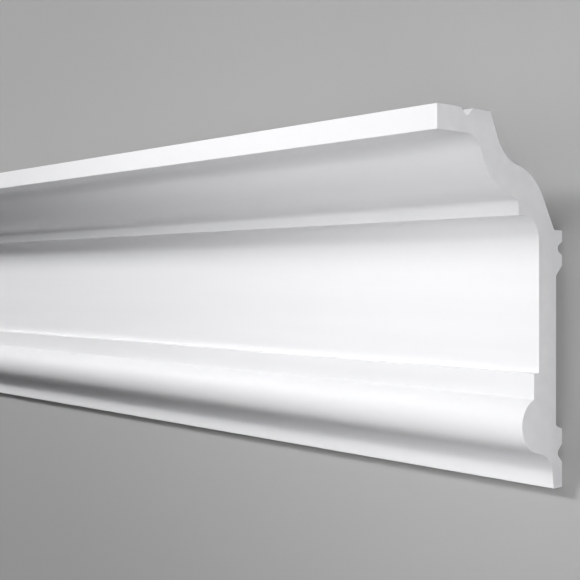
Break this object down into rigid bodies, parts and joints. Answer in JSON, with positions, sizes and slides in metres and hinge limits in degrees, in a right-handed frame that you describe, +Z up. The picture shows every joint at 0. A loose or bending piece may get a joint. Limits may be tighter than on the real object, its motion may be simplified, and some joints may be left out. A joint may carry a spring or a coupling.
{
  "type": "cornice moulding",
  "caption": "Straight length of cornice moulding with an ogee crown, fillet, cove and torus, recessed back and adhesive grooves, for the angle of wall and ceiling.",
  "frame": {"origin": "middle of the underside: half way along the length and half way between the bottom edge and the ceiling edge, in the plane of the wall", "axes": "+X along the length, +Y from the bottom edge up to the ceiling edge, +Z straight out from the wall; it lies on its back, so Z is up"},
  "size_m": [2, 0.235, 0.12],
  "materials": {
    "primed_foam": "smooth factory-primed matt white"
  },
  "bodies": {
    "root": {"cornice_moulding": "primed_foam"}
  },
  "joints": []
}
